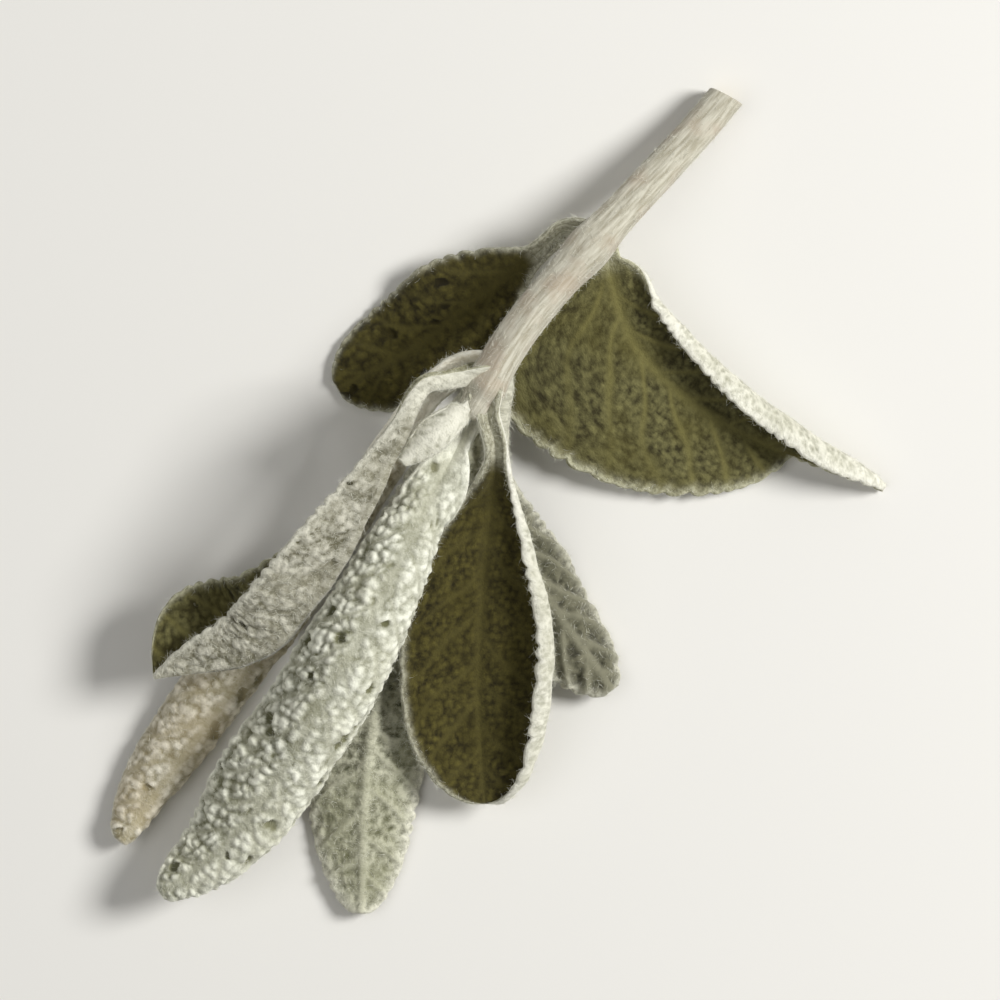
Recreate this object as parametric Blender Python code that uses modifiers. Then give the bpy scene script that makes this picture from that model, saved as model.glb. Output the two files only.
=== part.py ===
"""A dried sage sprig lying on a flat surface: a short stem with two joints, the leaves that grow from
them, and the small closed bud at its tip. Metres, +Z up; +Y runs from the leaf tips to the cut end."""

import math

import bmesh
import bpy
from mathutils import Matrix, Vector

MM = 0.001
UP = Vector((0.0, 0.0, 1.0))
FINE_STEPS = 40  # between two points of a route, before its points are set at even distances

# Where the upper joint's foot stands, so that the sprig's box is centred on the origin.
SPRIG_PLACE = Vector((-1.14, 4.36, 0.01)) * MM

# Stem, from the cut end over the lower joint to the upper joint.
STEM_RADIUS = 0.85 * MM
STEM_ROUTE = [(11.6, 14.3, 0.8), (9.8, 12.2, 1.6), (5.2, 7.2, 4.1), (2.0, 3.4, 5.6), (0.0, 0.0, 6.2)]
STEM_STEPS = 20
STEM_BEVEL = 3  # gives 10 sides
JOINT_SWELLING = 0.22  # share of the radius
JOINT_REACH = 1.3 * MM
LOWER_JOINT = Vector((5.2, 7.2, 4.1)) * MM
UPPER_JOINT = Vector((0.0, 0.0, 6.2)) * MM
TIP_RADIUS = 0.62 * MM

# Bud, from its foot just past the stem's tip to its point.
BUD_FOOT = Vector((-0.45, -0.2, 6.5)) * MM
BUD_TIP = Vector((-3.35, -2.65, 7.0)) * MM
BUD_WIDTH = 1.7 * MM
BUD_HEIGHT = 1.4 * MM
BUD_TAPER = 0.35  # how much narrower it is at the point than at the foot
BUD_SIDES = 12
BUD_RINGS = 8

# Leaves.
LEAF_THICKNESS = 0.4 * MM
STALK_HALF_WIDTH = 0.6 * MM
OPENING_START = 0.6  # share of the stalk where its groove begins to open into the blade
OPENING_REACH = 0.15  # share of the leaf's length that the groove takes to open
ROWS = 20  # along a leaf
HALF_COLUMNS = 5  # across each half
TIP_HALF_WIDTH = 0.35 * MM

# midrib: points in mm from the stalk's foot to the leaf's tip, counted from the upper joint's foot.
# stalk is the stalk's share of that length. stalk_fold is how far each side of the grooved stalk stands up,
# in degrees. roll turns the whole leaf about its midrib.
# The other values are for the left and the right half, seen on the upper side from the foot. fullness is
# how fast the half widens past the stalk: more is slower. widest is the place on the blade where it is
# widest, and end is where it runs out, 1 at the tip. blunt and taper give the shape in between: 2 and 0.5
# are an ellipse, more blunt is blunter, more taper is more pointed. fold is how far the half stands up from
# level at the midrib, in degrees. flat is the share of the half that keeps that slope, and curl is how much
# further its margin turns: less than 0 turns it under.
# roll, fold, flat and curl may be a row of values, at even steps from the foot to the tip.
LEAF_RULE = {"stalk_fold": 35.0, "fullness": (1.25, 1.25), "taper": (0.5, 0.5), "end": (1.0, 1.0)}
LEAVES = {
    "leaf_front": {
        "midrib": [(-0.25, -0.8, 5.15), (-1.2, -2.7, 5.4), (-3.0, -6.2, 6.2), (-4.8, -9.8, 6.5),
                   (-6.9, -13.4, 6.1), (-9.0, -17.0, 5.1), (-11.6, -20.3, 3.8), (-14.5, -22.5, 2.8)],
        "stalk": 0.05, "fullness": (0.8, 0.8), "roll": (0, 12), "half_width": (3.3, 2.7),
        "widest": (0.42, 0.42), "blunt": (3.2, 3.2),
        "fold": (-14, -6), "flat": (0.2, 0.1), "curl": (-115, -50), "colour": (0.52, 0.53, 0.44),
    },
    "leaf_left": {
        "midrib": [(-1.15, 1.15, 6.55), (-2.5, 0.7, 7.0), (-3.6, -1.5, 7.1), (-5.25, -4.75, 6.6),
                   (-7.4, -8.3, 5.5), (-10.1, -11.3, 4.1), (-14.8, -12.5, 3.2)],
        "stalk": 0.12, "fullness": (1.4, 2.4), "roll": (80, 70, 45), "half_width": (3.0, 4.2),
        "widest": (0.56, 0.8), "blunt": (2.6, 3.0), "taper": (0.9, 0.5),
        "fold": ((84, 84, 100), (45, 45, 40)), "flat": (0.3, 0.3), "curl": (15, 5),
        "colour": (0.50, 0.50, 0.43),
    },
    "leaf_right": {
        "midrib": [(0.64, -0.74, 6.2), (0.97, -2.2, 5.55), (0.78, -4.4, 4.2), (0.35, -8.1, 3.0),
                   (0.15, -13.5, 1.9), (0.45, -18.4, 1.5)],
        "stalk": 0.1, "roll": (0, 0), "half_width": (4.7, 3.8),
        "widest": (0.58, 0.58), "blunt": (2.4, 2.4),
        "fold": (10, 6), "flat": (0.6, 0.2), "curl": (185, 15), "colour": (0.26, 0.24, 0.14),
    },
    "leaf_back": {
        "midrib": [(0.2, 1.5, 4.1), (-0.5, -0.6, 3.4), (-1.5, -4.0, 2.6), (-3.3, -9.0, 1.85),
                   (-4.9, -15.5, 1.25), (-5.3, -23.5, 0.77)],
        "stalk": 0.05, "fullness": (0.8, 0.8), "roll": (180, 180), "half_width": (3.2, 3.0),
        "widest": (0.55, 0.55), "blunt": (2.4, 2.4),
        "fold": (8, 8), "flat": (0.2, 0.2), "curl": (25, 25), "colour": (0.42, 0.42, 0.34),
    },
    "leaf_small": {
        "midrib": [(1.3, 0.8, 4.55), (1.05, -1.2, 4.15), (1.2, -4.4, 3.3), (3.0, -8.6, 1.93),
                   (6.3, -13.2, 1.0)],
        "stalk": 0.26, "roll": (170, 160), "half_width": (2.4, 2.3),
        "widest": (0.5, 0.5), "blunt": (2.5, 2.5),
        "fold": (12, 12), "flat": (0.2, 0.2), "curl": (20, 20), "colour": (0.45, 0.44, 0.38),
    },
    "leaf_tan": {
        "midrib": [(-1.1, 1.4, 4.8), (-2.5, 0.1, 4.55), (-4.8, -3.8, 3.8), (-8.3, -9.6, 2.8),
                   (-11.9, -14.8, 1.9), (-16.4, -20.2, 1.15)],
        "stalk": 0.12, "roll": (0, 6), "half_width": (2.9, 3.1),
        "widest": (0.66, 0.66), "blunt": (2.6, 2.6),
        "fold": (-5, -5), "flat": (0.2, 0.3), "curl": (-80, -70), "colour": (0.44, 0.37, 0.22),
    },
    "leaf_lower_right": {
        "midrib": [(6.0, 7.2, 2.35), (6.4, 5.5, 2.3), (7.4, 2.8, 1.85), (9.9, 0.2, 1.1),
                   (13.6, -1.9, 0.5), (18.9, -3.9, 0.28)],
        "stalk": 0.03, "stalk_fold": 8.0, "fullness": (0.6, 0.8), "roll": (0, 0), "half_width": (3.8, 7.0),
        "widest": (0.5, 0.2), "blunt": (2.6, 1.1), "taper": (0.6, 0.62), "end": (1.0, 0.74),
        "fold": (8, 2), "flat": ((0.6, 0.57, 0.45, 0.28, 0.05, 0.0), 0.3), "curl": (178, -5),
        "colour": (0.28, 0.27, 0.15),
    },
    "leaf_lower_left": {
        "midrib": [(3.85, 7.9, 3.1), (2.6, 6.8, 2.6), (0.15, 5.0, 1.75), (-2.8, 2.7, 1.0),
                   (-6.4, 0.8, 0.36)],
        "stalk": 0.12, "fullness": (1.6, 1.1), "roll": (0, 0), "half_width": (2.8, 2.9),
        "widest": (0.46, 0.46), "blunt": (2.5, 2.5),
        "fold": (0, 0), "flat": (0.3, 0.3), "curl": (-20, -30), "colour": (0.24, 0.22, 0.15),
    },
}


def material(name, colour, roughness):
    made = bpy.data.materials.new(name)
    made.use_nodes = True
    shader = made.node_tree.nodes["Principled BSDF"]
    shader.inputs["Base Color"].default_value = (*colour, 1.0)
    shader.inputs["Roughness"].default_value = roughness
    shader.inputs["Metallic"].default_value = 0.0
    return made


def smooth_route(points, steps):
    """A curve through the points, as steps + 1 points at even distances along it."""
    ends = [points[0] * 2 - points[1], *points, points[-1] * 2 - points[-2]]
    fine = []
    for a, b, c, d in zip(ends, ends[1:], ends[2:], ends[3:]):
        for i in range(FINE_STEPS):
            t = i / FINE_STEPS
            fine.append(0.5 * (2 * b + (c - a) * t + (2 * a - 5 * b + 4 * c - d) * t * t
                               + (3 * b - a - 3 * c + d) * t ** 3))
    fine.append(points[-1])
    reached = [0.0]
    for here, after in zip(fine, fine[1:]):
        reached.append(reached[-1] + (after - here).length)
    even = []
    nearest = 0
    for i in range(steps + 1):
        wanted = reached[-1] * i / steps
        while nearest < len(fine) - 2 and reached[nearest + 1] < wanted:
            nearest += 1
        share = (wanted - reached[nearest]) / (reached[nearest + 1] - reached[nearest])
        even.append(fine[nearest].lerp(fine[nearest + 1], share))
    return even


def placed(points_mm):
    return [SPRIG_PLACE + Vector(point) * MM for point in points_mm]


def add_object(name, data, colour, roughness):
    obj = bpy.data.objects.new(name, data)
    data.materials.append(material(name + "_surface", colour, roughness))
    sprig.objects.link(obj)
    return obj


def stem_radius(point):
    """The joints are swollen, and past the upper one the stem thins towards the bud."""
    radius = STEM_RADIUS
    for joint in (LOWER_JOINT, UPPER_JOINT):
        away = (point - SPRIG_PLACE - joint).length / JOINT_REACH
        radius += STEM_RADIUS * JOINT_SWELLING * math.exp(-away * away)
    return radius


def add_stem():
    route = smooth_route(placed(STEM_ROUTE), STEM_STEPS)
    curve = bpy.data.curves.new("stem", "CURVE")
    curve.dimensions = "3D"
    curve.bevel_depth = STEM_RADIUS
    curve.bevel_resolution = STEM_BEVEL
    curve.use_fill_caps = True
    spline = curve.splines.new("POLY")
    spline.points.add(len(route) - 1)
    for place, point in zip(spline.points, route):
        place.co = (*point, 1.0)
        place.radius = stem_radius(point) / STEM_RADIUS
    spline.points[-1].radius = TIP_RADIUS / STEM_RADIUS
    add_object("stem", curve, (0.48, 0.44, 0.38), 0.85)


def add_bud():
    """An egg shape along the line from the bud's foot to its tip."""
    axis = BUD_TIP - BUD_FOOT
    mesh = bpy.data.meshes.new("terminal_bud")
    bm = bmesh.new()
    bmesh.ops.create_uvsphere(bm, u_segments=BUD_SIDES, v_segments=BUD_RINGS, radius=1.0)
    for vert in bm.verts:
        slim = 1.0 - BUD_TAPER * (vert.co.z + 1.0) / 2.0
        vert.co.x *= slim * BUD_WIDTH / 2
        vert.co.y *= slim * BUD_HEIGHT / 2
        vert.co.z *= axis.length / 2
    along = axis.normalized()
    across = along.cross(UP).normalized()
    turn = Matrix((across, across.cross(along) * -1, along)).transposed()
    bmesh.ops.transform(bm, matrix=turn.to_4x4(), verts=bm.verts)
    bmesh.ops.translate(bm, vec=SPRIG_PLACE + (BUD_FOOT + BUD_TIP) / 2, verts=bm.verts)
    bmesh.ops.recalc_face_normals(bm, faces=bm.faces)
    bm.to_mesh(mesh)
    bm.free()
    mesh.shade_smooth()
    add_object("terminal_bud", mesh, (0.55, 0.55, 0.47), 0.9)


def read_along(values, share):
    """A value at this share of the leaf's length, from one number or a row of them."""
    if not isinstance(values, tuple):
        return values
    place = share * (len(values) - 1)
    before = min(int(place), len(values) - 2)
    return values[before] + (values[before + 1] - values[before]) * (place - before)


def outline(leaf, side, blade):
    """How wide half the blade is at this share of its length, 1 at its widest."""
    widest, end = leaf["widest"][side], leaf["end"][side]
    if blade < widest:
        return math.sin(math.pi / 2 * blade / widest) ** leaf["fullness"][side]
    past = min(1.0, (blade - widest) / (end - widest))
    return (1 - past ** leaf["blunt"][side]) ** leaf["taper"][side]


def half_width(leaf, side, share):
    """Half the leaf's width, laid flat, at this share of its length: a stalk, then the blade."""
    blade = (share - leaf["stalk"]) / (1.0 - leaf["stalk"])
    if blade <= 0.0:
        return STALK_HALF_WIDTH
    full = leaf["half_width"][side] * MM
    edge = STALK_HALF_WIDTH if blade < leaf["widest"][side] else TIP_HALF_WIDTH
    return edge + (full - edge) * outline(leaf, side, blade)


def half_section(leaf, side, share):
    """Points (outward, up) across one half of the leaf, from next to the midrib to the margin."""
    width = half_width(leaf, side, share)
    open_share = min(1.0, max(0.0, (share - leaf["stalk"] * OPENING_START) / OPENING_REACH))
    folded = leaf["stalk_fold"]
    fold = folded + (read_along(leaf["fold"][side], share) - folded) * open_share
    curl = read_along(leaf["curl"][side], share) * open_share
    flat = read_along(leaf["flat"][side], share)
    points = []
    out = up = 0.0
    for column in range(HALF_COLUMNS):
        past_flat = max(0.0, ((column + 0.5) / HALF_COLUMNS - flat) / (1.0 - flat))
        angle = math.radians(fold + curl * past_flat)
        out += math.cos(angle) * width / HALF_COLUMNS
        up += math.sin(angle) * width / HALF_COLUMNS
        points.append((out, up))
    return points


def add_leaf(name, leaf):
    """A sheet of ROWS by columns, bent to the leaf's sections along its midrib, then given thickness."""
    route = smooth_route(placed(leaf["midrib"]), ROWS)
    mesh = bpy.data.meshes.new(name)
    bm = bmesh.new()
    made = bmesh.ops.create_grid(bm, x_segments=2 * HALF_COLUMNS, y_segments=ROWS, size=1.0)
    sheet = sorted(made["verts"], key=lambda vert: (round(vert.co.y, 4), vert.co.x))
    columns = 2 * HALF_COLUMNS + 1
    for row, point in enumerate(route):
        share = row / ROWS
        along = (route[min(row + 1, ROWS)] - route[max(row - 1, 0)]).normalized()
        right = along.cross(UP).normalized()
        turn = Matrix.Rotation(math.radians(read_along(leaf["roll"], share)), 3, along)
        right = turn @ right
        top = right.cross(along)
        left_half = half_section(leaf, 0, share)
        right_half = half_section(leaf, 1, share)
        section = [(-out, up) for out, up in reversed(left_half)] + [(0.0, 0.0)] + right_half
        for column, (out, up) in enumerate(section):
            sheet[row * columns + column].co = point + right * out + top * up
    bm.to_mesh(mesh)
    bm.free()
    mesh.shade_smooth()
    obj = add_object(name, mesh, leaf["colour"], 0.9)
    wall = obj.modifiers.new("wall", "SOLIDIFY")
    wall.thickness = LEAF_THICKNESS
    wall.offset = 0.0


for old in list(bpy.data.objects):
    bpy.data.objects.remove(old)
sprig = bpy.data.collections.new("sage_sprig")
bpy.context.scene.collection.children.link(sprig)
add_stem()
add_bud()
for leaf_name, leaf_shape in LEAVES.items():
    add_leaf(leaf_name, {**LEAF_RULE, **leaf_shape})
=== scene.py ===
import math

import bpy
import numpy as np
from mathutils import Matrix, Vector


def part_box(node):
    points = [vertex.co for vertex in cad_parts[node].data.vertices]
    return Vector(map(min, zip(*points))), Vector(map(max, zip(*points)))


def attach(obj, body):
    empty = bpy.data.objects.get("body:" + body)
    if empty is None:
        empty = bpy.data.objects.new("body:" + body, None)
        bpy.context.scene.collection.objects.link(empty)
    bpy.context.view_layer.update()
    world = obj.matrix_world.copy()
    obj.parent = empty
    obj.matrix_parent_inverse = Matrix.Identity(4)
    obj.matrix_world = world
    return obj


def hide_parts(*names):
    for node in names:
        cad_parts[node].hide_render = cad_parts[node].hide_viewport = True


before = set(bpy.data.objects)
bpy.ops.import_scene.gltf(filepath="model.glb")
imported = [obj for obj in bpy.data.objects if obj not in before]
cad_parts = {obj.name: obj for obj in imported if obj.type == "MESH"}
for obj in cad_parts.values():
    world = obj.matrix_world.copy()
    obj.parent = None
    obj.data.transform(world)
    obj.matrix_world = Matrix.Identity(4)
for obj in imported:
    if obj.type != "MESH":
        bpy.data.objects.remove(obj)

mm = 0.001
up = np.array((0.0, 0.0, 1.0))
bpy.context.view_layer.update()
print("frame loaded:", sorted(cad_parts))

# Sizes below are in mm and degrees. Points are counted from the foot of the stem's upper joint.
sprig = {
    "place": (-1.14, 4.36, 0.01),  # of that foot, in the frame
    "floorGap": 0.02,              # how far the lowest leaf keeps off the surface
    "floorSoftness": 0.07,         # how gently a leaf that touches it is pressed flat
}


def linear(hexColour):
    # sRGB hex to the linear numbers that a shader takes
    channels = [int(hexColour[i:i + 2], 16) / 255 for i in (1, 3, 5)]
    return *(c / 12.92 if c <= 0.04045 else ((c + 0.055) / 1.055) ** 2.4 for c in channels), 1.0


def addNode(tree, kind, inputs=None, **settings):
    # one node with its settings; an input is a value, or the node or socket that it is linked from
    node = tree.nodes.new(kind)
    for name, value in settings.items():
        setattr(node, name, value)
    for name, value in (inputs or {}).items():
        named = [s for s in node.inputs if s.enabled and s.name == name]
        socket = node.inputs[name] if isinstance(name, int) else named[0]
        if isinstance(value, bpy.types.Node):
            value = next(s for s in value.outputs if s.enabled)
        if isinstance(value, bpy.types.NodeSocket):
            tree.links.new(value, socket)
        else:
            socket.default_value = value
    return node


def newMaterial(name):
    material = bpy.data.materials.new(name)
    material.use_nodes = True
    material.node_tree.nodes.clear()
    return material, material.node_tree


def newTree(name, sockets):
    # a Geometry Nodes tree with named inputs, its input node and its output node
    tree = bpy.data.node_groups.new(name, "GeometryNodeTree")
    tree.interface.new_socket(name="Geometry", in_out="OUTPUT", socket_type="NodeSocketGeometry")
    for socketName, kind in {"Geometry": "Geometry", **sockets}.items():
        tree.interface.new_socket(name=socketName, in_out="INPUT", socket_type="NodeSocket" + kind)
    return tree, addNode(tree, "NodeGroupInput").outputs


def runTree(obj, tree, values):
    # the tree's result as a plain mesh; inputs are set by identifier before the first evaluation
    modifier = obj.modifiers.new(tree.name, "NODES")
    modifier.node_group = tree
    for item in tree.interface.items_tree:
        if item.in_out == "INPUT" and item.name in values:
            modifier[item.identifier] = values[item.name]
    graph = bpy.context.evaluated_depsgraph_get()
    made = bpy.data.meshes.new_from_object(obj.evaluated_get(graph), preserve_all_data_layers=True,
                                           depsgraph=graph)
    obj.modifiers.remove(modifier)
    return made


def newPiece(name, mesh):
    piece = bpy.data.objects.new(name, mesh)
    bpy.context.scene.collection.objects.link(piece)
    return piece


def unit(vectors):
    return vectors / np.maximum(np.linalg.norm(vectors, axis=-1, keepdims=True), 1e-9)


def ramp(value, low, high):
    # 0 below low, 1 above high, smooth between
    t = np.clip((value - low) / (high - low), 0, 1)
    return t * t * (3 - 2 * t)


def hump(value, width):
    # 1 at 0, falling to nothing on both sides
    return np.exp(-(value / width) ** 2)


def readAlong(values, shares):
    # a value at each of these shares of the leaf's length, from one number or a row of them
    row = np.atleast_1d(np.array(values, float))
    return np.interp(shares, np.linspace(0, 1, len(row)), row)


def smoothRoute(points, shares):
    # a curve through the points, read at these shares of its length, and that length
    stepsEach, passes = 60, 60
    p = np.array(points, float)
    ends = np.vstack([2 * p[0] - p[1], p, 2 * p[-1] - p[-2]])
    t = np.linspace(0, 1, stepsEach, endpoint=False)[:, None]
    spans = [0.5 * (2 * b + (c - a) * t + (2 * a - 5 * b + 4 * c - d) * t ** 2
                    + (3 * b - a - 3 * c + d) * t ** 3)
             for a, b, c, d in zip(ends, ends[1:], ends[2:], ends[3:])]
    fine = np.vstack([*spans, p[-1:]])
    for _ in range(passes):  # evens out the jumps in curvature at the points
        fine[1:-1] = (fine[:-2] + 2 * fine[1:-1] + fine[2:]) / 4
    run = np.concatenate([[0], np.cumsum(np.linalg.norm(np.diff(fine, axis=0), axis=1))])
    read = np.stack([np.interp(shares * run[-1], run, fine[:, axis]) for axis in range(3)], axis=1)
    return read, run[-1]


def meshFrom(name, points, faces, attributes):
    # points in mm from the joint's foot; attributes are one number or vector for each point
    mesh = bpy.data.meshes.new(name)
    placed = (points + np.array(sprig["place"])) * mm
    mesh.from_pydata(placed.tolist(), [], faces)
    for key, values in attributes.items():
        kind, field = ("FLOAT_VECTOR", "vector") if values.ndim == 2 else ("FLOAT", "value")
        attribute = mesh.attributes.new(key, kind, "POINT")
        attribute.data.foreach_set(field, values.astype(np.float32).ravel())
    mesh.shade_smooth()
    return mesh


def restOnFloor(mesh):
    # presses what would reach the surface softly flat just above it
    spots = np.empty(len(mesh.vertices) * 3, np.float32)
    mesh.vertices.foreach_get("co", spots)
    height = spots[2::3] / mm - sprig["floorGap"]
    soft = sprig["floorSoftness"]
    near = 6 * soft  # nothing above this is pressed
    pressed = np.where(height > near, height, soft * np.log1p(np.exp(np.clip(height, -near, near) / soft)))
    spots[2::3] = (pressed + sprig["floorGap"]) * mm
    mesh.vertices.foreach_set("co", spots)
    mesh.update()


def compare(piece, node):
    # how far the piece's box lies from the box of the solid that it stands for
    spots = np.array([v.co for v in piece.data.vertices])
    low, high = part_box(node)
    off = max(np.abs(spots.min(0) - low).max(), np.abs(spots.max(0) - high).max()) / mm
    print(f"{piece.name}: {len(piece.data.polygons)} faces, box within {off:.2f} mm of the frame's")


# The upper skin of a dried sage leaf: shrunken into small round pebbles, whose tops keep the white down
# while the pits between them show the dried green, darkened further by painted shade. Dull, paler on the
# margin, worn bare in patches. The "flat" attribute holds mm across, along and through the leaf, so a
# pattern's scale is 1 over its size in mm, and no pattern is drawn out over the rim. "cellShare" says how
# much the relief decides between "hollowTintAndShade" and "top", which paints shade into the pits,
# "grain" how much the tufts of down do, and "lift" favours "top" all over.
upperSkins = {
    "driedSkinDowny": {"hollowTintAndShade": "#68684b", "top": "#eeeedd", "bare": "#b3b192", "bareShare": 0.25,
                       "rim": "#eeedde", "vein": "#d2d1bb", "veinShare": 0.3, "contrast": 0.3,
                       "cellShare": 1.0, "grain": 3.0, "lift": 0.2, "sheen": 0.2},
    "driedSkinOlive": {"hollowTintAndShade": "#332f19", "top": "#78744a", "bare": "#565024", "bareShare": 0.45,
                       "rim": "#c2c0a4", "vein": "#857f4b", "veinShare": 0.55, "contrast": 0.28,
                       "cellShare": 0.6, "grain": 4.5, "lift": 0.16, "sheen": 0.1},
    "driedSkinDark": {"hollowTintAndShade": "#241f09", "top": "#5e5729", "bare": "#423c14", "bareShare": 0.4,
                      "rim": "#c6c4ae", "vein": "#635c2e", "veinShare": 0.45, "contrast": 0.25,
                      "cellShare": 0.6, "grain": 4.5, "lift": 0.16, "sheen": 0.1},
    "driedSkinTan": {"hollowTintAndShade": "#918869", "top": "#efe9d6", "bare": "#c0ae88", "bareShare": 0.3,
                     "rim": "#ebe8da", "vein": "#d6ccae", "veinShare": 0.3, "contrast": 0.3,
                     "cellShare": 1.0, "grain": 3.0, "lift": 0.15, "sheen": 0.15},
}
# The back of the leaf: matted white hair like thin felt, stretched over raised veins. Paler on the veins,
# greener in the pits, which are darkened further by painted shade, with no gloss at all.
backFelts = {
    "driedFeltPale": {"hollowTintAndShade": "#8d8c75", "top": "#e0dece", "bare": "#b8b69f", "bareShare": 0.35,
                      "rim": "#e8e6d8", "vein": "#dedccb", "veinShare": 0.25, "contrast": 0.35,
                      "cellShare": 1.0, "grain": 3.0, "lift": 0.05, "sheen": 0.2},
    "driedFeltSmooth": {"hollowTintAndShade": "#6a6752", "top": "#cfccbb", "bare": "#a19d87", "bareShare": 0.35,
                        "rim": "#dcdac9", "vein": "#bebba8", "veinShare": 0.1, "contrast": 0.55,
                        "cellShare": 1.0, "grain": 3.0, "lift": 0.03, "sheen": 0.2},
    "driedFeltGreen": {"hollowTintAndShade": "#515239", "top": "#c3c2ab", "bare": "#8b8b6d", "bareShare": 0.5,
                       "rim": "#e2e0cf", "vein": "#b3b29a", "veinShare": 0.15, "contrast": 0.5,
                       "cellShare": 1.0, "grain": 3.6, "lift": 0.0, "sheen": 0.15},
    # darker all over than the other felts: painted shade, for the small leaf lying in the shadow of the
    # others
    "driedFeltPaintedShade": {"hollowTintAndShade": "#26251a", "top": "#716f5b", "bare": "#4f4e3a", "bareShare": 0.5,
                      "rim": "#cfcdbb", "vein": "#898772", "veinShare": 0.6, "contrast": 0.5,
                      "cellShare": 1.0, "grain": 3.6, "lift": 0.0, "sheen": 0.15},
}
leafPattern = {
    "patchSize": 3.2,     # of the worn patches
    "grainSize": 0.2,     # of the tufts of down, drawn about twice as coarse as they are so that they show
    "hairSize": 0.07,     # between single hairs, as a dull nap
    "napDepth": 0.045,
    "worn": (0.44, 0.62), "rubbed": (0.38, 0.6),  # where the noise begins to wear patches and rim, and ends
    "rubbedRim": 0.45,    # how pale the rim is where it is rubbed off
    "roughness": (0.82, 0.98),
}


def leafSurface(name, look):
    material, tree = newMaterial(name)
    read = {key: addNode(tree, "ShaderNodeAttribute", attribute_name=key).outputs
            for key in ("flat", "height", "tone", "vein", "edge")}
    patches, tufts, nap = [
        addNode(tree, "ShaderNodeTexNoise", {"Vector": read["flat"]["Vector"], "Roughness": roughness,
                                             "Scale": 1 / leafPattern[size], "Detail": detail})
        for size, detail, roughness in (("patchSize", 4.0, 0.5), ("grainSize", 3.0, 0.65),
                                        ("hairSize", 1.0, 0.5))]
    worn, rubbed, rough = [
        addNode(tree, "ShaderNodeMapRange", {"Value": noise, "From Min": start, "From Max": end,
                                             "To Min": low, "To Max": high})
        for noise, (start, end), (low, high) in (
            (patches, leafPattern["worn"], (0.0, look["bareShare"])),
            (tufts, leafPattern["rubbed"], (leafPattern["rubbedRim"], 1.0)),
            (tufts, (0.0, 1.0), leafPattern["roughness"]))]
    # how much white down there is: on the tops, less on some cells than on others, and uneven. As it
    # follows the relief, it also paints shade into the pits between the pebbles
    uneven = addNode(tree, "ShaderNodeMath", {0: tufts, 1: 0.5}, operation="SUBTRACT")
    cellTone = addNode(tree, "ShaderNodeMath", {0: read["tone"]["Fac"], 1: 0.5}, operation="SUBTRACT")
    mottled = addNode(tree, "ShaderNodeMath", {
        0: uneven, 1: look["grain"], 2: cellTone}, operation="MULTIPLY_ADD")
    lifted = addNode(tree, "ShaderNodeMath", {
        0: read["height"]["Fac"], 1: look["cellShare"], 2: look["lift"]}, operation="MULTIPLY_ADD")
    downAndShade = addNode(tree, "ShaderNodeMath", {
        0: mottled, 1: look["contrast"], 2: lifted}, operation="MULTIPLY_ADD", use_clamp=True)
    onVein = addNode(tree, "ShaderNodeMath", {
        0: read["vein"]["Fac"], 1: look["veinShare"]}, operation="MULTIPLY")
    onRim = addNode(tree, "ShaderNodeMath", {0: read["edge"]["Fac"], 1: rubbed}, operation="MULTIPLY")
    colour = linear(look["hollowTintAndShade"])
    for key, share in (("top", downAndShade), ("bare", worn), ("vein", onVein), ("rim", onRim)):
        colour = addNode(tree, "ShaderNodeMix", {
            "Factor": share, "A": colour, "B": linear(look[key])}, data_type="RGBA")
    tuftBump = addNode(tree, "ShaderNodeBump", {
        "Height": tufts, "Strength": 0.6, "Distance": 2 * leafPattern["napDepth"] * mm})
    napBump = addNode(tree, "ShaderNodeBump", {
        "Height": nap, "Strength": 0.5, "Normal": tuftBump, "Distance": leafPattern["napDepth"] * mm})
    shader = addNode(tree, "ShaderNodeBsdfPrincipled", {
        "Base Color": colour, "Roughness": rough, "Normal": napBump,
        "Sheen Weight": look["sheen"], "Sheen Roughness": 0.5, "Specular IOR Level": 0.2})
    addNode(tree, "ShaderNodeOutputMaterial", {"Surface": shader})
    return material


skins = {name: leafSurface(name, look) for name, look in upperSkins.items()}
felts = {name: leafSurface(name, look) for name, look in backFelts.items()}

# The down: dry, hollow white hairs, matt, catching light from all sides.
down, downNodes = newMaterial("sageDownHair")
downShader = addNode(downNodes, "ShaderNodeBsdfPrincipled", {
    "Base Color": linear("#dddccd"), "Roughness": 0.8, "Sheen Weight": 0.2})
addNode(downNodes, "ShaderNodeOutputMaterial", {"Surface": downShader})
print("leaf materials made:", len(bpy.data.materials))

pebbleRule = {
    "wander": 0.7, "wandersPerMm": 0.9,  # bends the pebbles' rows out of line
    "randomness": 0.8,                   # of their places
    "reach": 0.62, "steepness": 1.7,     # of a round top: share of the cell size, and 2 is a dome
    "smallest": 0.65,                    # height of the lowest pebble beside the highest
    "crumb": 0.7, "crumbsPerMm": 4.0,    # the rough grain over the pebbles, as a share of their height
    "pit": -1.2,                         # of a sunken cell, the same
    "puckersPerMm": 0.55,
    "calmHeight": 0.65,                  # what a calm place looks like, from a hollow, 0, to a top, 1
}


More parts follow.
